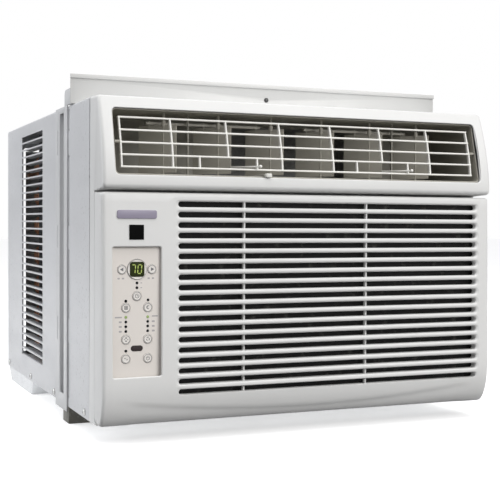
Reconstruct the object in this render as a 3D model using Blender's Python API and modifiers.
"""Window air conditioner, built as separate named parts.

Every part is placed from one datum empty: X runs across the front, Y runs back from the most
proud line of the front bezel, and Z runs up from the lower edge of the cabinet.
The empty puts the middle of the whole unit's underside at the world origin.
Units are metres.
"""
from math import cos, pi, radians, sin

import bmesh
import bpy
from mathutils import Matrix, Vector

# Driving dimensions
HALF_WIDTH = 0.2525          # cabinet and bezel, from the middle plane
CABINET_HEIGHT = 0.3704
CABINET_REAR = 0.5755
CABINET_FRONT = 0.0605
FOOT_DROP = 0.021            # sump and bottom rail below the cabinet's lower edge
KNOB_FRONT = -0.003          # the vent knob is the foremost point
SHEET = 0.001
GAP = 0.0003                 # between pieces that touch

# Front
PANEL_TOP = 0.2610
PANEL_REAR = 0.0365
SEAM_Y = 0.0373              # front of the bezel's lower frame
PANEL_HINGE = Vector((0.0, 0.0245, 0.0120))
HEEL_RADIUS = 0.0117
OUTLET_HALF = 0.2380
OUTLET_LOW = 0.2800
OUTLET_HIGH = 0.3550
DUCT_REAR = 0.1310

# Intake grille
SLOT_ROWS = 19
SLOT_PITCH = 0.01175
SLOT_TOP_Z = 0.2482
SLOT_HEIGHT = 0.0063
GRILLE_LEFT = -0.1650
GRILLE_RIGHT = 0.2345
MULLIONS = (-0.0834, 0.0768)

# Louver grid and vanes
GRID_HALF = 0.2300
GRID_BARS = (0.2892, 0.3027, 0.3165, 0.3306, 0.3450)
GRID_RECESS = 0.0070         # the grid stands this far behind the bezel's face
GRID_BAR = 0.0022
GRID_DEPTH = 0.0050
GRID_TILT_AXIS = Vector((0.0, 0.0150, 0.3170))
LEVER_STOP = 0.0355          # bottom-row uprights, either side of a lever's vane
BAY = 0.0676                 # spacing of the vanes and of the grid's long uprights
VANE_Y = 0.0450
VANE_LOW = 0.2850
VANE_HIGH = 0.3400
VANE_FRONT = 0.0170
VANE_BACK = 0.0340
VANE_THICK = 0.0018
VANE_REST = radians(40.0)    # the vanes point to the right of straight ahead
LINK_ARM = 0.0200            # pivot to link pin
LEVER_REACH = 0.0560         # pivot to the ball on the lever's end

# Control fascia
FASCIA_Y = 0.0070
FASCIA_THICK = 0.0025
PANEL_CUTOUT = (-0.2410, -0.1852, 0.0565, 0.2005)
PAD_X = -0.2120              # middle of the control fascia
BUTTON_RADIUS = 0.0052
BUTTON_HOLE = 0.0056
BUTTONS = {
    "button_temp_down": (-0.0172, 0.1756),
    "button_temp_up": (0.0172, 0.1756),
    "button_timer": (0.0, 0.1460),
    "button_filter_reset": (-0.0126, 0.1332),
    "button_sleep": (0.0126, 0.1332),
    "button_mode": (-0.0126, 0.0980),
    "button_fan_speed": (0.0126, 0.0980),
    "button_energy_saver": (-0.0126, 0.0765),
    "button_power": (0.0126, 0.0765),
}

# Cabinet sides
LOUVERS = 31
LOUVER_PITCH = 0.010416
LOUVER_LOW = 0.0316
LOUVER_OPEN = 0.0083
LOUVER_Y = (0.3143, 0.4605)
GUIDE_FRONT = 0.1635
GUIDE_REAR = 0.2260
GROOVE_FRONT = 0.1805
GROOVE_REAR = 0.2025
GROOVE_DEPTH = 0.0065
EAR_FRONT = 0.1420           # tab that rises beside the top rail
EAR_REAR = 0.1765

# Refrigeration and air moving
ROTOR_X = 0.0300
ROTOR_Z = 0.1650
COMPRESSOR = Vector((-0.1500, 0.3650, 0.0))
EVAPORATOR = (-0.1650, 0.2250, 0.0680, 0.1120, 0.0300, 0.2620)
CONDENSER = (-0.2150, 0.2150, 0.5150, 0.5560, 0.0120, 0.3380)
BULKHEAD_Y = 0.2260

WHITE_PLASTIC = (0.88, 0.88, 0.86)
CABINET_PAINT = (0.74, 0.74, 0.76)
DARK_PLASTIC = (0.12, 0.115, 0.10)

# Axes on which an outline is drawn: its own x and y, and the way it is pulled out
SIDE_VIEW = Matrix(((0, 0, 1), (1, 0, 0), (0, 1, 0))).to_4x4()      # (y, z) pulled along +X
FRONT_VIEW = Matrix(((1, 0, 0), (0, 0, -1), (0, 1, 0))).to_4x4()    # (x, z) pulled along -Y
PLAN_VIEW = Matrix.Identity(4)                                      # (x, y) pulled along +Z


def clear_scene():
    for old in list(bpy.data.objects):
        bpy.data.objects.remove(old, do_unlink=True)


def make_collection(name):
    group = bpy.data.collections.new(name)
    bpy.context.scene.collection.children.link(group)
    return group


clear_scene()
PARTS = make_collection("window_air_conditioner")
CUTTERS = make_collection("cutters")
DATUM = bpy.data.objects.new("unit_datum", None)
DATUM.location = (0.0, -(KNOB_FRONT + CABINET_REAR) / 2.0, FOOT_DROP)
PARTS.objects.link(DATUM)
bpy.context.view_layer.update()


# ---------------------------------------------------------------- helpers

def material(name, colour, roughness, metallic):
    made = bpy.data.materials.new(name)
    made.use_nodes = True
    shader = made.node_tree.nodes["Principled BSDF"]
    shader.inputs["Base Color"].default_value = (*colour, 1.0)
    shader.inputs["Roughness"].default_value = roughness
    shader.inputs["Metallic"].default_value = metallic
    return made


def add_object(name, mesh):
    made = bpy.data.objects.new(name, mesh)
    CUTTERS.objects.link(made)
    made.parent = DATUM
    made.hide_render = True
    made.display_type = 'WIRE'
    return made


def finish(made, name, colour, roughness=0.45, metallic=0.0, smooth=None, pivot=None):
    """Turn a worked shape into a named part, with its own material."""
    CUTTERS.objects.unlink(made)
    PARTS.objects.link(made)
    made.name = name
    made.data.name = name
    made.hide_render = False
    made.display_type = 'TEXTURED'
    made.data.materials.clear()
    made.data.materials.append(material(name, colour, roughness, metallic))
    if smooth is not None:
        made.data.shade_smooth()
        made.data.set_sharp_from_angle(angle=radians(smooth))
    if pivot is not None:
        made.data.transform(Matrix.Translation(-Vector(pivot)))
        made.location = pivot
    return made


def box(x0, x1, y0, y1, z0, z1):
    shape = bmesh.new()
    bmesh.ops.create_cube(shape, size=1.0)
    middle = Vector(((x0 + x1) / 2, (y0 + y1) / 2, (z0 + z1) / 2))
    size = Vector((x1 - x0, y1 - y0, z1 - z0))
    bmesh.ops.transform(shape, matrix=Matrix.LocRotScale(middle, None, size), verts=shape.verts)
    mesh = bpy.data.meshes.new("box")
    shape.to_mesh(mesh)
    shape.free()
    return add_object("box", mesh)


def rod(start, end, radius, sides=16):
    """A straight round bar between two points."""
    start, end = Vector(start), Vector(end)
    along = end - start
    shape = bmesh.new()
    bmesh.ops.create_cone(shape, cap_ends=True, segments=sides, radius1=radius,
                          radius2=radius, depth=along.length)
    turn = along.to_track_quat('Z', 'Y').to_matrix().to_4x4()
    bmesh.ops.transform(shape, matrix=Matrix.Translation((start + end) / 2) @ turn,
                        verts=shape.verts)
    mesh = bpy.data.meshes.new("rod")
    shape.to_mesh(mesh)
    shape.free()
    return add_object("rod", mesh)


def ball(centre, radius):
    shape = bmesh.new()
    bmesh.ops.create_uvsphere(shape, u_segments=10, v_segments=6, radius=radius)
    bmesh.ops.translate(shape, vec=Vector(centre), verts=shape.verts)
    mesh = bpy.data.meshes.new("ball")
    shape.to_mesh(mesh)
    shape.free()
    return add_object("ball", mesh)


def mesh_from_curve(curve, placing, name):
    """Make a curve into a welded mesh, because curves take no Boolean modifier."""
    guide = bpy.data.objects.new(name, curve)
    PARTS.objects.link(guide)
    guide.matrix_world = placing
    evaluated = guide.evaluated_get(bpy.context.evaluated_depsgraph_get())
    mesh = bpy.data.meshes.new_from_object(evaluated)
    mesh.transform(placing)
    shape = bmesh.new()
    shape.from_mesh(mesh)
    bmesh.ops.remove_doubles(shape, verts=shape.verts, dist=1e-6)
    bmesh.ops.recalc_face_normals(shape, faces=shape.faces)
    shape.to_mesh(mesh)
    shape.free()
    bpy.data.objects.remove(guide, do_unlink=True)
    return add_object(name, mesh)


def prism(outline, view, start, end):
    """Pull a closed flat outline out between two stations on the view's own axis."""
    curve = bpy.data.curves.new("outline", 'CURVE')
    curve.dimensions = '2D'
    curve.fill_mode = 'BOTH'
    curve.extrude = abs(end - start) / 2
    spline = curve.splines.new('POLY')
    spline.points.add(len(outline) - 1)
    for point, (u, v) in zip(spline.points, outline):
        point.co = (u, v, 0.0, 1.0)
    spline.use_cyclic_u = True
    pull = view.to_3x3() @ Vector((0, 0, 1))
    axis = max(range(3), key=lambda i: abs(pull[i]))
    middle = Vector((0, 0, 0))
    middle[axis] = (start + end) / 2
    return mesh_from_curve(curve, Matrix.Translation(middle) @ view, "prism")


def pipe(points, radius, sides_level=1):
    """A tube's solid along a list of points."""
    curve = bpy.data.curves.new("run", 'CURVE')
    curve.dimensions = '3D'
    curve.bevel_depth = radius
    curve.bevel_resolution = sides_level
    curve.use_fill_caps = True
    spline = curve.splines.new('POLY')
    spline.points.add(len(points) - 1)
    for point, place in zip(spline.points, points):
        point.co = (*place, 1.0)
    return mesh_from_curve(curve, Matrix.Identity(4), "run")


def smooth_route(stops, steps=5):
    """Points on a smooth curve through the stops."""
    stops = [Vector(s) for s in stops]
    ends = [stops[0] * 2 - stops[1]] + stops + [stops[-1] * 2 - stops[-2]]
    points = [stops[0]]
    for a, b, c, d in zip(ends, ends[1:], ends[2:], ends[3:]):
        for i in range(1, steps + 1):
            t = i / steps
            points.append(0.5 * ((2 * b) + (c - a) * t + (2 * a - 5 * b + 4 * c - d) * t * t
                                 + (3 * b - a - 3 * c + d) * t ** 3))
    return points


def turned(profile, placing, steps=24):
    """A closed profile of (radius, height) turned about local Z by a Screw modifier.

    The profile runs down its outer side. A point with radius 0 lies on the axis.
    """
    mesh = bpy.data.meshes.new("profile")
    shape = bmesh.new()
    verts = [shape.verts.new((r, 0.0, h)) for r, h in profile]
    pairs = list(zip(verts, verts[1:]))
    if profile[0][0] > 0.0:
        pairs.append((verts[-1], verts[0]))
    for a, b in pairs:
        shape.edges.new((a, b))
    shape.to_mesh(mesh)
    shape.free()
    made = add_object("turned", mesh)
    screw = made.modifiers.new("turn", 'SCREW')
    screw.steps = steps
    screw.render_steps = steps
    screw.use_merge_vertices = True
    screw.merge_threshold = 0.00001
    made.matrix_local = placing
    return bake(made)


def bake(made):
    """Apply the modifiers and the placing, so that the shape can be cut or joined."""
    bpy.context.view_layer.update()
    evaluated = made.evaluated_get(bpy.context.evaluated_depsgraph_get())
    mesh = bpy.data.meshes.new_from_object(evaluated)
    mesh.transform(made.matrix_local)
    made.modifiers.clear()
    made.matrix_local = Matrix.Identity(4)
    made.data = mesh
    return made


def repeat(made, count, step):
    array = made.modifiers.new("rows", 'ARRAY')
    array.count = count
    array.use_relative_offset = False
    array.use_constant_offset = True
    array.constant_offset_displace = step
    return made


def combine(made, others, operation):
    for other in others:
        step = made.modifiers.new(operation.lower(), 'BOOLEAN')
        step.operation = operation
        step.solver = 'EXACT'
        step.object = other
    return made


def cut(made, *others):
    return combine(made, others, 'DIFFERENCE')


def join(made, *others):
    return combine(made, others, 'UNION')


def arc(centre, radius, start, end, steps):
    """Points on an arc, angles in degrees from the outline's own x axis."""
    points = []
    for i in range(steps + 1):
        angle = radians(start + (end - start) * i / steps)
        points.append((centre[0] + radius * cos(angle), centre[1] + radius * sin(angle)))
    return points


def rounded(x0, x1, z0, z1, radius, steps=3):
    return (arc((x1 - radius, z0 + radius), radius, -90, 0, steps)
            + arc((x1 - radius, z1 - radius), radius, 0, 90, steps)
            + arc((x0 + radius, z1 - radius), radius, 90, 180, steps)
            + arc((x0 + radius, z0 + radius), radius, 180, 270, steps))


def along_y(x, y, z):
    """Placing for a turned shape whose axis runs back along +Y."""
    return Matrix.Translation((x, y, z)) @ Matrix.Rotation(-pi / 2, 4, 'X')


# ---------------------------------------------------------------- casing

def bezel_face(inset=0.0, steps=6):
    """The upper front face in side view, from the lip up: a shallow convex curve."""
    low, high = 0.2700, 0.3672
    points = []
    for i in range(steps + 1):
        t = i / steps
        depth = 0.0238 * t ** 1.75
        points.append((depth + inset, low + (high - low) * t))
    return points


def cabinet():
    bend = 0.003
    outer = ([(HALF_WIDTH, 0.0)]
             + arc((HALF_WIDTH - bend, CABINET_HEIGHT - bend), bend, 0, 90, 3)
             + arc((bend - HALF_WIDTH, CABINET_HEIGHT - bend), bend, 90, 180, 3)
             + [(-HALF_WIDTH, 0.0)])
    body = prism(outer, FRONT_VIEW, CABINET_FRONT, CABINET_REAR)
    inside = HALF_WIDTH - SHEET
    hollow = box(-inside, inside, 0.0, CABINET_REAR - SHEET, -0.05, CABINET_HEIGHT - SHEET)
    rear = box(-0.2285, 0.2285, 0.5, 0.65, -0.06, 0.3450)
    slots = repeat(box(-0.3, 0.3, *LOUVER_Y, LOUVER_LOW, LOUVER_LOW + LOUVER_OPEN),
                   LOUVERS, (0.0, 0.0, LOUVER_PITCH))
    windows = box(-0.3, 0.3, GROOVE_FRONT - 0.0016, GROOVE_REAR + 0.0016, 0.0120, 0.3640)
    cut(body, hollow, rear, slots, windows)
    slit_y = (0.1585, 0.1608)
    for low, high in ((0.0130, 0.0782), (0.1104, 0.1921), (0.2245, 0.3077), (0.3400, 0.3640)):
        cut(body, box(-0.3, 0.3, *slit_y, low, high))
    for side in (-1, 1):
        fin = box(0.0, 0.0080, LOUVER_Y[0] + 0.001, LOUVER_Y[1] - 0.001, -0.0004, 0.0004)
        lean = Matrix.Rotation(radians(-12 * side), 4, 'Y')
        if side > 0:
            fin.data.transform(Matrix.Translation((-0.0080, 0, 0)))
        root = Vector((side * (HALF_WIDTH - 0.0004), 0.0, LOUVER_LOW - 0.0007))
        fin.data.transform(Matrix.Translation(root) @ lean)
        join(body, repeat(fin, LOUVERS, (0.0, 0.0, LOUVER_PITCH)))
    inlet_hole = rod((0.2, 0.0950, 0.0420), (0.3, 0.0950, 0.0420), 0.0085, 16)
    cut(body, inlet_hole)
    return finish(body, "cabinet", CABINET_PAINT, 0.4, 0.0, 30)


def base_pan():
    def section(t):
        """The pan in side view: a floor that falls to the front, and a deep sump behind."""
        return [(0.0615 + t, 0.0), (0.3850 + t * 0.7, 0.0004), (0.4000 + t * 0.7, -FOOT_DROP),
                (0.5520 - t * 0.7, -FOOT_DROP), (0.5735 - t, 0.0002)]
    t = 0.0012
    outer = [(y, z) for y, z in section(0.0)] + [(0.5735, 0.0220), (0.0615, 0.0220)]
    inner = [(y, z + t) for y, z in section(t)] + [(0.5735 - t, 0.04), (0.0615 + t, 0.04)]
    half = 0.2510
    pan = prism(outer, SIDE_VIEW, -half, half)
    notch = box(-0.3, 0.3, GROOVE_FRONT - 0.002, GROOVE_REAR + 0.002, 0.0118, 0.05)
    cut(pan, prism(inner, SIDE_VIEW, -half + t, half - t), notch)
    return finish(pan, "base_pan", (0.55, 0.56, 0.57), 0.4, 0.6)


def top_rail():
    y, low, high, t = 0.1400, CABINET_HEIGHT + GAP, 0.4063, 0.0012
    outline = [(y, low), (y, high - 0.0050), (y - 0.0022, high - 0.0050),
               (y - 0.0022, high), (y + t, high), (y + t, low + t), (y + 0.0240, low + t),
               (y + 0.0240, low)]
    rail = prism(outline, SIDE_VIEW, -0.2555, 0.2555)
    cut(rail, rod((0.0020, 0.12, 0.3870), (0.0020, 0.16, 0.3870), 0.0020, 12))
    for side in (-1, 1):
        x0, x1 = sorted((side * (HALF_WIDTH - 0.0002), side * 0.26))
        cut(rail, box(x0, x1, y + t, 0.17, 0.36, 0.38))
    return finish(rail, "top_rail", (0.80, 0.80, 0.79), 0.4)


def bottom_rail():
    low, high = -FOOT_DROP, -GAP
    rail = box(-0.2525, 0.2525, 0.1600, 0.1900, low, high)
    cut(rail, box(-0.2509, 0.2509, 0.1616, 0.1884, low + 0.0016, 0.01))
    return finish(rail, "bottom_rail", (0.20, 0.19, 0.165), 0.6)


def side_guide(name, side):
    """A channel let into the cabinet's side, with a flange on each side of its groove."""
    t = 0.0012
    face = HALF_WIDTH + 0.0018
    seat = HALF_WIDTH + GAP
    floor = HALF_WIDTH - GROOVE_DEPTH
    section = [(seat, GUIDE_FRONT), (face, GUIDE_FRONT), (face, GROOVE_FRONT),
               (floor, GROOVE_FRONT), (floor, GROOVE_REAR), (face, GROOVE_REAR),
               (face, GUIDE_REAR), (seat, GUIDE_REAR), (seat, GROOVE_REAR + t),
               (floor - t, GROOVE_REAR + t), (floor - t, GROOVE_FRONT - t),
               (seat, GROOVE_FRONT - t)]
    section = [(side * x, y) for x, y in section]
    guide = prism(section, PLAN_VIEW, 0.0125, 0.3635)
    flange_low = [(side * x, y) for x, y in
                  ((seat, GUIDE_FRONT), (face, GUIDE_FRONT), (face, GUIDE_REAR), (seat, GUIDE_REAR))]
    join(guide, prism(flange_low, PLAN_VIEW, 0.3630, CABINET_HEIGHT))
    join(guide, prism(flange_low, PLAN_VIEW, -0.0065, 0.0130))
    corner = 0.0060
    ear = prism([(EAR_FRONT, CABINET_HEIGHT + GAP), (GUIDE_FRONT + 0.0005, CABINET_HEIGHT + GAP),
                 (GUIDE_FRONT + 0.0005, 0.3685), (EAR_REAR, 0.3685)]
                + arc((EAR_REAR - corner, 0.3840), corner, 0, 90, 3)
                + arc((EAR_FRONT + corner, 0.3840), corner, 90, 180, 3),
                SIDE_VIEW, side * seat, side * face)
    join(guide, ear)
    for low, high in ((0.0785, 0.1075), (0.1950, 0.2235), (0.3120, 0.3425)):
        cut(guide, box(side * HALF_WIDTH - 0.01, side * HALF_WIDTH + 0.01, 0.2125, 0.2148,
                       low, high))
    return finish(guide, name, (0.76, 0.76, 0.77), 0.4)


def front_bezel():
    face = bezel_face()
    hinge = (PANEL_HINGE.y, PANEL_HINGE.z)
    heel = arc(hinge, HEEL_RADIUS + 0.0011, -69, 0, 4)
    outer = ([(0.0600, 0.0)] + heel
             + [(SEAM_Y, 0.2632), (0.0060, 0.2644), (0.0012, 0.2660)] + face
             + [(0.0275, 0.3690), (0.0600, CABINET_HEIGHT)])
    body = prism(outer, SIDE_VIEW, -HALF_WIDTH, HALF_WIDTH)
    soften = body.modifiers.new("side_edges", 'BEVEL')
    soften.width = 0.0022
    soften.segments = 2
    soften.limit_method = 'ANGLE'
    soften.angle_limit = radians(80)
    bake(body)
    wall = 0.0027
    lifted = [(y, z) for y, z in bezel_face(0.0026)]
    lifted[0] = (0.0028, 0.2680)
    inner = ([(0.0650, wall), (SEAM_Y + wall, wall), (SEAM_Y + wall, 0.2662), (0.0080, 0.2668)]
             + lifted[:-1] + [(0.0264, 0.3650), (0.0310, 0.3670), (0.0650, 0.3678)])
    hollow = prism(inner, SIDE_VIEW, -HALF_WIDTH + wall, HALF_WIDTH - wall)
    intake = box(-0.2405, 0.2405, 0.02, 0.07, 0.0180, 0.2560)
    outlet = prism(rounded(-OUTLET_HALF, OUTLET_HALF, OUTLET_LOW, OUTLET_HIGH, 0.005),
                   FRONT_VIEW, -0.02, 0.058)
    cut(body, hollow, intake, outlet)
    for side in (-1, 1):
        x0, x1 = sorted((side * 0.2340, side * 0.2400))
        lug = prism(arc(hinge, 0.0045, 90, 270, 6) + [(0.0390, 0.0075), (0.0390, 0.0165)],
                    SIDE_VIEW, x0, x1)
        join(body, lug)
        cut(body, rod((x0 - 0.01, *hinge), (x1 + 0.0045, *hinge), 0.0022, 10))
    return finish(body, "front_bezel", WHITE_PLASTIC, 0.35, 0.0, 35)


def outlet_duct():
    wall = 0.0012
    low, high = OUTLET_LOW + GAP, OUTLET_HIGH - GAP
    half = OUTLET_HALF - GAP
    side = [(0.0034, low), (DUCT_REAR, low), (DUCT_REAR, high), (0.0222, high)]
    body = prism(side, SIDE_VIEW, -half, half)
    corners = prism(rounded(-half, half, low, high, 0.0048), FRONT_VIEW, -0.02, 0.2)
    combine(body, [corners], 'INTERSECT')
    bore = prism(rounded(-half + wall, half - wall, low + wall, high - wall, 0.0038),
                 FRONT_VIEW, -0.03, 0.25)
    cut(body, bore)
    rear = box(-half + 0.0004, half - 0.0004, DUCT_REAR - wall, DUCT_REAR, low + 0.0004,
               high - 0.0004)
    cut(rear, box(-0.0950, 0.1470, DUCT_REAR - 0.01, DUCT_REAR + 0.01, 0.27, 0.3500))
    join(body, rear)
    for x in (-1.0, 1.0):
        rib = x * BAY * 2.0 + x * 0.002
        join(body, box(rib - 0.0008, rib + 0.0008, 0.0500, 0.0530, low + 0.0004, high - 0.0004))
    for index in range(6):
        x = (index - 2.5) * BAY
        cut(body, rod((x, VANE_Y, low - 0.001), (x, VANE_Y, high + 0.001), 0.0018, 8))
    return finish(body, "outlet_duct", DARK_PLASTIC, 0.6)


# ---------------------------------------------------------------- intake panel and filter

def panel_front(inset=0.0, steps=6):
    """The panel's front in side view, from its top edge down and round its curled foot."""
    points = [(0.0062, PANEL_TOP - inset), (0.0040 + inset, PANEL_TOP - 0.0022),
              (0.0020 + inset, 0.1500)]
    for i in range(steps + 1):
        t = radians(90 * i / steps)
        y = 0.0205 * (1 - cos(t)) + inset * cos(t)
        z = 0.0003 + 0.0497 * (1 - sin(t)) + inset * sin(t)
        points.append((y, z))
    return points


def intake_panel():
    hinge = (PANEL_HINGE.y, PANEL_HINGE.z)
    heel = arc(hinge, HEEL_RADIUS, -90, 0, 4)
    outer = panel_front() + heel + [(PANEL_REAR, 0.0160), (PANEL_REAR, PANEL_TOP)]
    body = prism(outer, SIDE_VIEW, -HALF_WIDTH, HALF_WIDTH)
    wall = 0.0025
    inner = panel_front(wall) + [(0.05, 0.0003 + wall), (0.05, PANEL_TOP - wall)]
    side_wall = 0.0030
    hollow = prism(inner, SIDE_VIEW, -HALF_WIDTH + side_wall, HALF_WIDTH - side_wall)
    x0, x1, z0, z1 = PANEL_CUTOUT
    window = box(x0, x1, -0.01, 0.02, z0, z1)
    cut(body, hollow, window)
    join(body, box(GRILLE_LEFT - 0.003, GRILLE_RIGHT + 0.003, 0.0032, 0.0108, 0.0330, 0.2550))
    rows = repeat(box(GRILLE_LEFT, GRILLE_RIGHT, -0.02, 0.03, SLOT_TOP_Z - SLOT_HEIGHT / 2,
                      SLOT_TOP_Z + SLOT_HEIGHT / 2), SLOT_ROWS, (0.0, 0.0, -SLOT_PITCH))
    cut(body, rows)
    for x in MULLIONS:
        join(body, box(x - 0.0012, x + 0.0012, 0.0060, 0.0112, 0.0320, 0.2560))
    for side in (-1, 1):
        n0, n1 = sorted((side * 0.2330, side * 0.2412))
        cut(body, box(n0, n1, PANEL_HINGE.y, 0.0400, -0.01, 0.0034))
        join(body, rod((side * 0.2500, *hinge), (side * 0.2350, *hinge), 0.0018, 10))
    return finish(body, "intake_panel", WHITE_PLASTIC, 0.35, 0.0, 35, PANEL_HINGE)


def air_filter():
    x0, x1, z0, z1 = -0.1700, 0.2400, 0.0300, 0.2560
    body = box(x0, x1, 0.0150, 0.0185, z0, z1)
    columns, border = 4, 0.0050
    pitch = (x1 - x0 - border) / columns
    pocket = box(x0 + border, x0 + pitch, 0.0160, 0.03, z0 + border, (z0 + z1) / 2 - border / 2)
    repeat(pocket, columns, (pitch, 0.0, 0.0))
    second = pocket.modifiers.new("upper_row", 'ARRAY')
    second.use_relative_offset = False
    second.use_constant_offset = True
    second.constant_offset_displace = (0.0, 0.0, (z1 - z0 - border) / 2)
    cut(body, pocket)
    return finish(body, "air_filter", (0.13, 0.15, 0.16), 0.8, pivot=PANEL_HINGE)


def panel_badges():
    badge = prism(rounded(PAD_X - 0.0240, PAD_X + 0.0215, 0.2318, 0.2412, 0.002),
                  FRONT_VIEW, 0.0020, 0.0029)
    finish(badge, "blank_badge", (0.55, 0.53, 0.60), 0.4, pivot=PANEL_HINGE)
    square = box(-0.2222, -0.2054, 0.0020, 0.0029, 0.2085, 0.2250)
    finish(square, "blank_mark", (0.02, 0.02, 0.02), 0.4, pivot=PANEL_HINGE)


# ---------------------------------------------------------------- controls

def control_panel():
    y0, y1 = FASCIA_Y, FASCIA_Y + FASCIA_THICK
    plate = box(-0.2435, -0.1825, y0, y1, 0.0535, 0.2035)
    for dx, z in BUTTONS.values():
        x = PAD_X + dx
        cut(plate, rod((x, y0 - 0.01, z), (x, y1 + 0.01, z), BUTTON_HOLE, 12))
    cut(plate, rod((PAD_X, y0 - 0.01, 0.1756), (PAD_X, y1 + 0.01, 0.1756), 0.0115, 20))
    cut(plate, prism(rounded(PAD_X - 0.0070, PAD_X + 0.0070, 0.0844, 0.0910, 0.0030),
                     FRONT_VIEW, y0 - 0.01, y1 + 0.01))
    return finish(plate, "control_panel", (0.84, 0.80, 0.76), 0.45)


def control_details():
    lens = rod((PAD_X, FASCIA_Y - 0.0010, 0.1756), (PAD_X, FASCIA_Y + 0.0030, 0.1756), 0.0112, 20)
    finish(lens, "display_window", (0.03, 0.03, 0.03), 0.2)
    infrared = prism(rounded(PAD_X - 0.0067, PAD_X + 0.0067, 0.0847, 0.0907, 0.0028),
                     FRONT_VIEW, FASCIA_Y - 0.0004, FASCIA_Y + 0.0030)
    finish(infrared, "infrared_window", (0.05, 0.03, 0.03), 0.15)
    for name, (dx, z) in BUTTONS.items():
        x = PAD_X + dx
        button = rod((x, FASCIA_Y - 0.0010, z), (x, FASCIA_Y + 0.0032, z), BUTTON_RADIUS, 12)
        finish(button, name, (0.90, 0.88, 0.85), 0.4, pivot=(x, FASCIA_Y, z))


def control_box():
    body = box(-0.2385, -0.1795, 0.0210, 0.1500, 0.0300, 0.2520)
    cut(body, box(-0.2373, -0.1807, 0.0, 0.1488, 0.0312, 0.2508))
    finish(body, "control_box", (0.60, 0.61, 0.62), 0.4, 0.7)
    board = box(-0.2360, -0.1820, 0.0165, 0.0181, 0.0600, 0.1950)
    chips = [box(-0.2300, -0.2060, 0.0180, 0.0300, 0.0700, 0.0950),
             box(-0.1980, -0.1860, 0.0180, 0.0240, 0.1200, 0.1500)]
    join(board, *chips)
    finish(board, "control_board", (0.05, 0.25, 0.12), 0.5)
    capacitor = turned([(0.0, 0.0700), (0.0200, 0.0700), (0.0215, 0.0680), (0.0215, 0.0),
                        (0.0, 0.0)], Matrix.Translation((-0.2090, 0.0950, 0.0320)), 20)
    finish(capacitor, "run_capacitor", (0.72, 0.73, 0.74), 0.3, 0.8, 30)


# ---------------------------------------------------------------- louvers and vent

def grid_face_y(z):
    """Depth of the louver grid's front, which stands parallel to the bezel's face."""
    return GRID_RECESS + 0.0238 * max(0.0, (z - 0.2700) / 0.0972) ** 1.75


def louver_grid():
    body = None
    half = GRID_BAR / 2
    for z in GRID_BARS:
        y = grid_face_y(z)
        bar = box(-GRID_HALF, GRID_HALF, y, y + GRID_DEPTH, z - half, z + half)
        if body is None:
            body = bar
        else:
            join(body, bar)

    def upright(x, first, last, recess):
        rows = GRID_BARS[first:last + 1:last - first]
        front = [(grid_face_y(z) + recess, z) for z in rows]
        back = [(y + GRID_DEPTH - 2.2 * recess, z) for y, z in reversed(front)]
        return prism(front + back, SIDE_VIEW, x - half, x + half)

    inset = GRID_HALF - half - 0.0001
    for x in (-inset, -2.5 * BAY, -0.5 * BAY, 0.5 * BAY, 2.5 * BAY, inset):
        join(body, upright(x, 0, 4, 0.0004))
    for middle in (-1.5 * BAY, 1.5 * BAY):
        join(body, upright(middle, 1, 4, 0.0006))
        for offset in (-LEVER_STOP, LEVER_STOP):
            join(body, upright(middle + offset, 0, 1, 0.0008))
    for side in (-1, 1):
        join(body, rod((side * (GRID_HALF - 0.0010), GRID_TILT_AXIS.y, GRID_TILT_AXIS.z),
                       (side * 0.2360, GRID_TILT_AXIS.y, GRID_TILT_AXIS.z), 0.0018, 10))
    return finish(body, "louver_grid", (0.90, 0.89, 0.85), 0.35, 0.0, 30, GRID_TILT_AXIS)


def vane(index):
    """One upright vane on its own pivot. The middle vane of each three has the lever."""
    x = (index - 2.5) * BAY
    pivot = Vector((x, VANE_Y, (VANE_LOW + VANE_HIGH) / 2))
    half = VANE_THICK / 2
    blade = prism([(x - half * 0.5, VANE_Y - VANE_FRONT), (x + half * 0.5, VANE_Y - VANE_FRONT),
                   (x + half, VANE_Y), (x + half * 0.5, VANE_Y + VANE_BACK),
                   (x - half * 0.5, VANE_Y + VANE_BACK), (x - half, VANE_Y)],
                  PLAN_VIEW, VANE_LOW, VANE_HIGH)
    join(blade, rod((x, VANE_Y, OUTLET_LOW + 0.0006), (x, VANE_Y, OUTLET_HIGH - 0.0006),
                    0.0014, 8))
    peg_y = VANE_Y + LINK_ARM
    join(blade, rod((x, peg_y, VANE_HIGH - 0.0040), (x, peg_y, 0.3455), 0.0012, 8))
    join(blade, rod((x, VANE_Y, VANE_HIGH - 0.0020), (x, VANE_Y, 0.3440), 0.0026, 12))
    if index in (1, 4):
        z = 0.2928
        tip = VANE_Y - LEVER_REACH
        join(blade, box(x - 0.0007, x + 0.0007, tip, VANE_Y - VANE_FRONT + 0.0040,
                        z - 0.0009, z + 0.0009))
        join(blade, ball((x, tip, z), 0.0019))
    bake(blade)
    turn = (Matrix.Translation(pivot) @ Matrix.Rotation(VANE_REST, 4, 'Z')
            @ Matrix.Translation(-pivot))
    blade.data.transform(turn)
    return finish(blade, "vane_%d" % (index + 1), (0.16, 0.155, 0.14), 0.5, 0.0, 30, pivot)


def link_pin(index):
    """Where a vane's link pin stands at rest."""
    x = (index - 2.5) * BAY
    return Vector((x - LINK_ARM * sin(VANE_REST), VANE_Y + LINK_ARM * cos(VANE_REST), 0.3426))


def vane_link(name, first):
    pins = [link_pin(first + i) for i in range(3)]
    y = pins[0].y
    bar = box(pins[0].x - 0.0045, pins[2].x + 0.0045, y - 0.0032, y + 0.0032, 0.3412, 0.3440)
    for pin in pins:
        cut(bar, rod((pin.x, pin.y, 0.33), (pin.x, pin.y, 0.37), 0.0017, 8))
    return finish(bar, name, (0.20, 0.19, 0.17), 0.5, pivot=pins[1])


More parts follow.
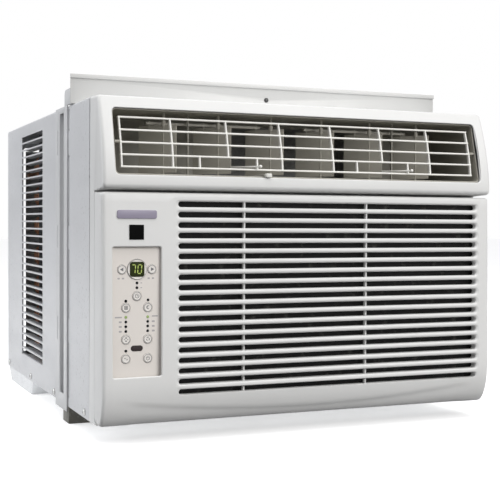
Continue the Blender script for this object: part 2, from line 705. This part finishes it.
def vent_control():
    x, z = -0.0565, 0.2832
    knob = box(x - 0.0035, x + 0.0035, KNOB_FRONT, 0.0032, 0.2804, 0.2848)
    shaft = rod((x, 0.0020, z), (x, 0.2180, z), 0.0012, 10)
    join(knob, shaft)
    finish(knob, "vent_pull", (0.90, 0.90, 0.87), 0.4, pivot=(x, KNOB_FRONT, z))
    hinge = Vector((x, 0.2160, 0.2570))
    door = box(x - 0.0300, x + 0.0300, 0.2152, 0.2168, hinge.z, 0.3050)
    cut(door, box(x - 0.0022, x + 0.0022, 0.20, 0.23, 0.2735, 0.2935))
    join(door, rod((x - 0.0300, hinge.y, hinge.z), (x + 0.0300, hinge.y, hinge.z), 0.0016, 10))
    finish(door, "vent_door", (0.25, 0.25, 0.25), 0.5, pivot=hinge)


# ---------------------------------------------------------------- air moving

def blower_scroll():
    centre = (ROTOR_X, ROTOR_Z)

    def volute(inset):
        """Spiral round the wheel, rising into a neck that feeds the outlet duct."""
        points = []
        for i in range(13):
            t = i / 12
            radius = 0.0980 + 0.0220 * t - inset
            angle = radians(180 + 180 * t)
            points.append((centre[0] + radius * cos(angle), centre[1] + radius * sin(angle)))
        right = centre[0] + 0.1200 - inset
        left = -0.0980 + inset
        top = 0.3560 - inset
        return points + [(right, top), (left, top), (left, 0.2500 - inset),
                         (centre[0] - 0.0980 + inset, 0.2100)]

    body = prism(volute(0.0), FRONT_VIEW, 0.1330, 0.2220)
    cut(body, prism(volute(0.0025), FRONT_VIEW, 0.1355, 0.2195))
    inlet = rod((centre[0], 0.10, centre[1]), (centre[0], 0.15, centre[1]), 0.0680, 28)
    shaft_hole = rod((centre[0], 0.20, centre[1]), (centre[0], 0.24, centre[1]), 0.0100, 16)
    mouth = box(-0.0950, 0.1470, 0.10, 0.1400, 0.2815, 0.3500)
    window = box(-0.0840, -0.0290, 0.2100, 0.24, 0.2640, 0.3000)
    cut(body, inlet, shaft_hole, mouth, window)
    return finish(body, "blower_scroll", (0.82, 0.83, 0.84), 0.8)


def blower_wheel():
    hub = [(0.0850, 0.0020), (0.0850, 0.0), (0.0063, 0.0), (0.0063, 0.0180), (0.0120, 0.0180),
           (0.0120, 0.0020)]
    wheel = turned(hub, along_y(ROTOR_X, 0.2060, ROTOR_Z) @ Matrix.Scale(-1, 4, (0, 0, 1)), 28)
    wheel.data.flip_normals()
    ring = turned([(0.0850, 0.0020), (0.0850, 0.0), (0.0700, 0.0), (0.0700, 0.0020)],
                  along_y(ROTOR_X, 0.1500, ROTOR_Z), 28)
    join(wheel, ring)
    for index in range(12):
        blade = box(-0.0006, 0.0006, 0.1510, 0.2050, 0.0715, 0.0835)
        turn = (Matrix.Translation((ROTOR_X, 0.0, ROTOR_Z))
                @ Matrix.Rotation(2 * pi * index / 12, 4, 'Y')
                @ Matrix.Translation((0.0, 0.0, 0.0775)) @ Matrix.Rotation(radians(35), 4, 'Y')
                @ Matrix.Translation((0.0, 0.0, -0.0775)))
        blade.data.transform(turn)
        join(wheel, blade)
    axis = (ROTOR_X, 0.1780, ROTOR_Z)
    return finish(wheel, "blower_wheel", (0.08, 0.08, 0.08), 0.6, 0.0, 30, axis)


def fan_motor():
    axis = (ROTOR_X, 0.0, ROTOR_Z)
    shaft = rod((ROTOR_X, 0.1620, ROTOR_Z), (ROTOR_X, 0.4800, ROTOR_Z), 0.0060, 16)
    finish(shaft, "motor_shaft", (0.70, 0.70, 0.70), 0.3, 0.9, 30, (ROTOR_X, 0.1780, ROTOR_Z))
    profile = [(0.0068, 0.1000), (0.0200, 0.1000), (0.0220, 0.0880), (0.0560, 0.0840),
               (0.0600, 0.0760), (0.0600, 0.0140), (0.0560, 0.0060), (0.0220, 0.0),
               (0.0068, 0.0)]
    motor = turned(profile, along_y(axis[0], 0.2900, axis[2]), 22)
    finish(motor, "fan_motor", (0.42, 0.43, 0.44), 0.35, 0.8, 30)
    plate = box(ROTOR_X - 0.0550, ROTOR_X + 0.0550, 0.3940, 0.3956, 0.0016, ROTOR_Z + 0.0400)
    foot = box(ROTOR_X - 0.0550, ROTOR_X + 0.0550, 0.3640, 0.3950, 0.0016, 0.0032)
    join(plate, foot)
    cut(plate, rod((ROTOR_X, 0.35, ROTOR_Z), (ROTOR_X, 0.43, ROTOR_Z), 0.0150, 16))
    finish(plate, "motor_bracket", (0.60, 0.61, 0.62), 0.35, 0.8)


def condenser_fan():
    y0, y1 = 0.4380, 0.4700
    hub = turned([(0.0280, y1 - y0), (0.0280, 0.0), (0.0063, 0.0), (0.0063, y1 - y0)],
                 along_y(ROTOR_X, y0, ROTOR_Z), 20)
    ring = turned([(0.1440, 0.0120), (0.1440, 0.0), (0.1410, 0.0), (0.1410, 0.0120)],
                  along_y(ROTOR_X, y0 + 0.0100, ROTOR_Z), 28)
    for index in range(5):
        blade = box(-0.0330, 0.0330, y0 + 0.0150, y0 + 0.0170, 0.0260, 0.1425)
        turn = (Matrix.Translation((ROTOR_X, 0.0, ROTOR_Z))
                @ Matrix.Rotation(2 * pi * index / 5, 4, 'Y')
                @ Matrix.Translation((0.0, y0 + 0.0160, 0.0)) @ Matrix.Rotation(radians(24), 4, 'Z')
                @ Matrix.Translation((0.0, -y0 - 0.0160, 0.0)))
        blade.data.transform(turn)
        join(hub, blade)
    join(hub, ring)
    return finish(hub, "condenser_fan", (0.10, 0.10, 0.11), 0.5, 0.0, 30,
                  (ROTOR_X, 0.4540, ROTOR_Z))


def fan_shroud():
    plate = box(-0.2220, 0.2220, 0.4840, 0.4856, 0.0020, 0.3600)
    ring = rod((ROTOR_X, 0.4600, ROTOR_Z), (ROTOR_X, 0.4850, ROTOR_Z), 0.1520, 32)
    join(plate, ring)
    bore = rod((ROTOR_X, 0.44, ROTOR_Z), (ROTOR_X, 0.50, ROTOR_Z), 0.1500, 32)
    tube_hole = rod((-0.1900, 0.47, 0.3000), (-0.1900, 0.50, 0.3000), 0.0080, 12)
    cut(plate, bore, tube_hole)
    return finish(plate, "fan_shroud", (0.50, 0.51, 0.52), 0.5, 0.3)


def bulkhead():
    plate = box(-0.2480, 0.2480, BULKHEAD_Y, BULKHEAD_Y + 0.0012, 0.0016, 0.3680)
    shaft = rod((ROTOR_X, 0.20, ROTOR_Z), (ROTOR_X, 0.25, ROTOR_Z), 0.0120, 16)
    suction = rod((-0.1725, 0.20, 0.2560), (-0.1725, 0.25, 0.2560), 0.0075, 12)
    capillary = rod((-0.1725, 0.20, 0.0400), (-0.1725, 0.25, 0.0400), 0.0040, 10)
    vent = box(-0.0840, -0.0290, 0.20, 0.25, 0.2640, 0.3000)
    groove = box(-0.3, -0.2440, 0.20, 0.25, -0.01, 0.40)
    other = box(0.2440, 0.3, 0.20, 0.25, -0.01, 0.40)
    cut(plate, shaft, suction, capillary, vent, groove, other)
    return finish(plate, "bulkhead", (0.62, 0.63, 0.64), 0.4, 0.7)


# ---------------------------------------------------------------- refrigeration

def coil(name, block, bends, side, colour):
    """A finned block with the tube bends that show at its end."""
    x0, x1, y0, y1, z0, z1 = block
    body = box(*block)
    end = x1 if side > 0 else x0
    pitch = (z1 - z0) / bends
    for index in range(bends):
        z = z0 + pitch * (index + 0.5)
        y = y0 + (y1 - y0) * (0.35 if index % 2 else 0.65)
        bend = [(end - side * 0.004, y, z - 0.0100)]
        bend += [(end + side * 0.0100 * sin(radians(a)), y, z - 0.0100 * cos(radians(a)))
                 for a in range(20, 180, 35)]
        bend += [(end - side * 0.004, y, z + 0.0100)]
        join(body, pipe(bend, 0.0038))
    return finish(body, name, colour, 0.4, 0.8)


def compressor():
    shell = [(0.0, 0.2350), (0.0280, 0.2310), (0.0500, 0.2180), (0.0600, 0.1950),
             (0.0600, 0.0500), (0.0560, 0.0300), (0.0560, 0.0186), (0.0750, 0.0186),
             (0.0750, 0.0160), (0.0, 0.0160)]
    body = turned(shell, Matrix.Translation(COMPRESSOR), 24)
    for angle in (90, 210, 330):
        x = COMPRESSOR.x + 0.0660 * cos(radians(angle))
        y = COMPRESSOR.y + 0.0660 * sin(radians(angle))
        cut(body, rod((x, y, 0.0), (x, y, 0.0187 + 0.004), 0.0042, 10))
    finish(body, "compressor", (0.03, 0.03, 0.03), 0.35, 0.5, 35)
    for number, angle in enumerate((90, 210, 330), 1):
        x = COMPRESSOR.x + 0.0660 * cos(radians(angle))
        y = COMPRESSOR.y + 0.0660 * sin(radians(angle))
        ring = turned([(0.0, 0.0210), (0.0038, 0.0210), (0.0038, 0.0157), (0.0080, 0.0157),
                       (0.0090, 0.0016), (0.0, 0.0016)], Matrix.Translation((x, y, 0)), 12)
        finish(ring, "compressor_grommet_%d" % number, (0.02, 0.02, 0.02), 0.8, 0.0, 35)
    tank = turned([(0.0, 0.1800), (0.0100, 0.1780), (0.0180, 0.1660), (0.0180, 0.0740),
                   (0.0100, 0.0620), (0.0, 0.0600)], Matrix.Translation((-0.2150, 0.2900, 0)), 18)
    finish(tank, "accumulator", (0.04, 0.04, 0.04), 0.4, 0.5, 35)


def tubes():
    copper = (0.72, 0.42, 0.28)
    suction = smooth_route([(-0.1668, 0.0900, 0.2500), (-0.1700, 0.0905, 0.2505),
                            (-0.1728, 0.1100, 0.2560), (-0.1725, 0.1700, 0.2560),
                            (-0.1725, 0.2400, 0.2560), (-0.1900, 0.2750, 0.2520),
                            (-0.2110, 0.2890, 0.2300), (-0.2150, 0.2900, 0.2000),
                            (-0.2150, 0.2900, 0.1805)], 3)
    finish(pipe(suction, 0.0042, 2), "suction_tube", copper, 0.3, 0.9, 40)
    stub = smooth_route([(-0.2150, 0.2900, 0.0595), (-0.2150, 0.2900, 0.0500),
                         (-0.2090, 0.2970, 0.0420), (-0.1990, 0.3085, 0.0420),
                         (-0.1922, 0.3164, 0.0450)], 3)
    finish(pipe(stub, 0.0036, 2), "accumulator_tube", copper, 0.3, 0.9, 40)
    discharge = smooth_route([(-0.1400, 0.3700, 0.2354), (-0.1400, 0.3700, 0.2550),
                              (-0.1480, 0.3950, 0.2800), (-0.1850, 0.4400, 0.2990),
                              (-0.1900, 0.4850, 0.3000), (-0.2060, 0.4990, 0.3000),
                              (-0.2270, 0.5080, 0.3000), (-0.2290, 0.5280, 0.3000),
                              (-0.2240, 0.5350, 0.3000), (-0.2156, 0.5350, 0.3000)], 3)
    finish(pipe(discharge, 0.0036, 2), "discharge_tube", copper, 0.3, 0.9, 40)
    capillary = smooth_route([(-0.2156, 0.5350, 0.0300), (-0.2250, 0.5300, 0.0300),
                              (-0.2330, 0.5000, 0.0300), (-0.2340, 0.4200, 0.0310),
                              (-0.2350, 0.3300, 0.0340), (-0.2200, 0.2600, 0.0400),
                              (-0.1760, 0.2400, 0.0400), (-0.1725, 0.2200, 0.0400),
                              (-0.1725, 0.1200, 0.0420), (-0.1700, 0.0950, 0.0440),
                              (-0.1660, 0.0900, 0.0450)], 3)
    finish(pipe(capillary, 0.0016, 1), "capillary_tube", copper, 0.3, 0.9, 40)


def drip_tray():
    tray = box(-0.1700, 0.2360, 0.0640, 0.1160, 0.0020, 0.0280)
    cut(tray, box(-0.1670, 0.2330, 0.0670, 0.1130, 0.0060, 0.05))
    return finish(tray, "drip_tray", (0.90, 0.90, 0.90), 0.9)


def cord_grommet():
    """The inlet for the supply cord, low on the right side. It snaps into the cabinet."""
    ring = turned([(0.0125, 0.0020), (0.0125, 0.0), (0.0045, 0.0), (0.0045, 0.0020)],
                  Matrix.Translation((HALF_WIDTH + GAP, 0.0950, 0.0420))
                  @ Matrix.Rotation(pi / 2, 4, 'Y'), 16)
    neck = turned([(0.0080, 0.0060), (0.0080, 0.0), (0.0045, 0.0), (0.0045, 0.0060)],
                  Matrix.Translation((HALF_WIDTH - 0.0050, 0.0950, 0.0420))
                  @ Matrix.Rotation(pi / 2, 4, 'Y'), 16)
    join(ring, neck)
    return finish(ring, "cord_grommet", (0.05, 0.05, 0.05), 0.7, 0.0, 35)


def build():
    cabinet()
    base_pan()
    top_rail()
    bottom_rail()
    side_guide("side_guide_left", -1)
    side_guide("side_guide_right", 1)
    front_bezel()
    outlet_duct()
    intake_panel()
    air_filter()
    panel_badges()
    control_panel()
    control_details()
    control_box()
    louver_grid()
    for index in range(6):
        vane(index)
    vane_link("vane_link_left", 0)
    vane_link("vane_link_right", 3)
    vent_control()
    blower_scroll()
    blower_wheel()
    fan_motor()
    condenser_fan()
    fan_shroud()
    bulkhead()
    coil("evaporator_coil", EVAPORATOR, 3, 1, (0.70, 0.71, 0.72))
    coil("condenser_coil", CONDENSER, 4, 1, (0.62, 0.63, 0.64))
    compressor()
    tubes()
    drip_tray()
    cord_grommet()


build()
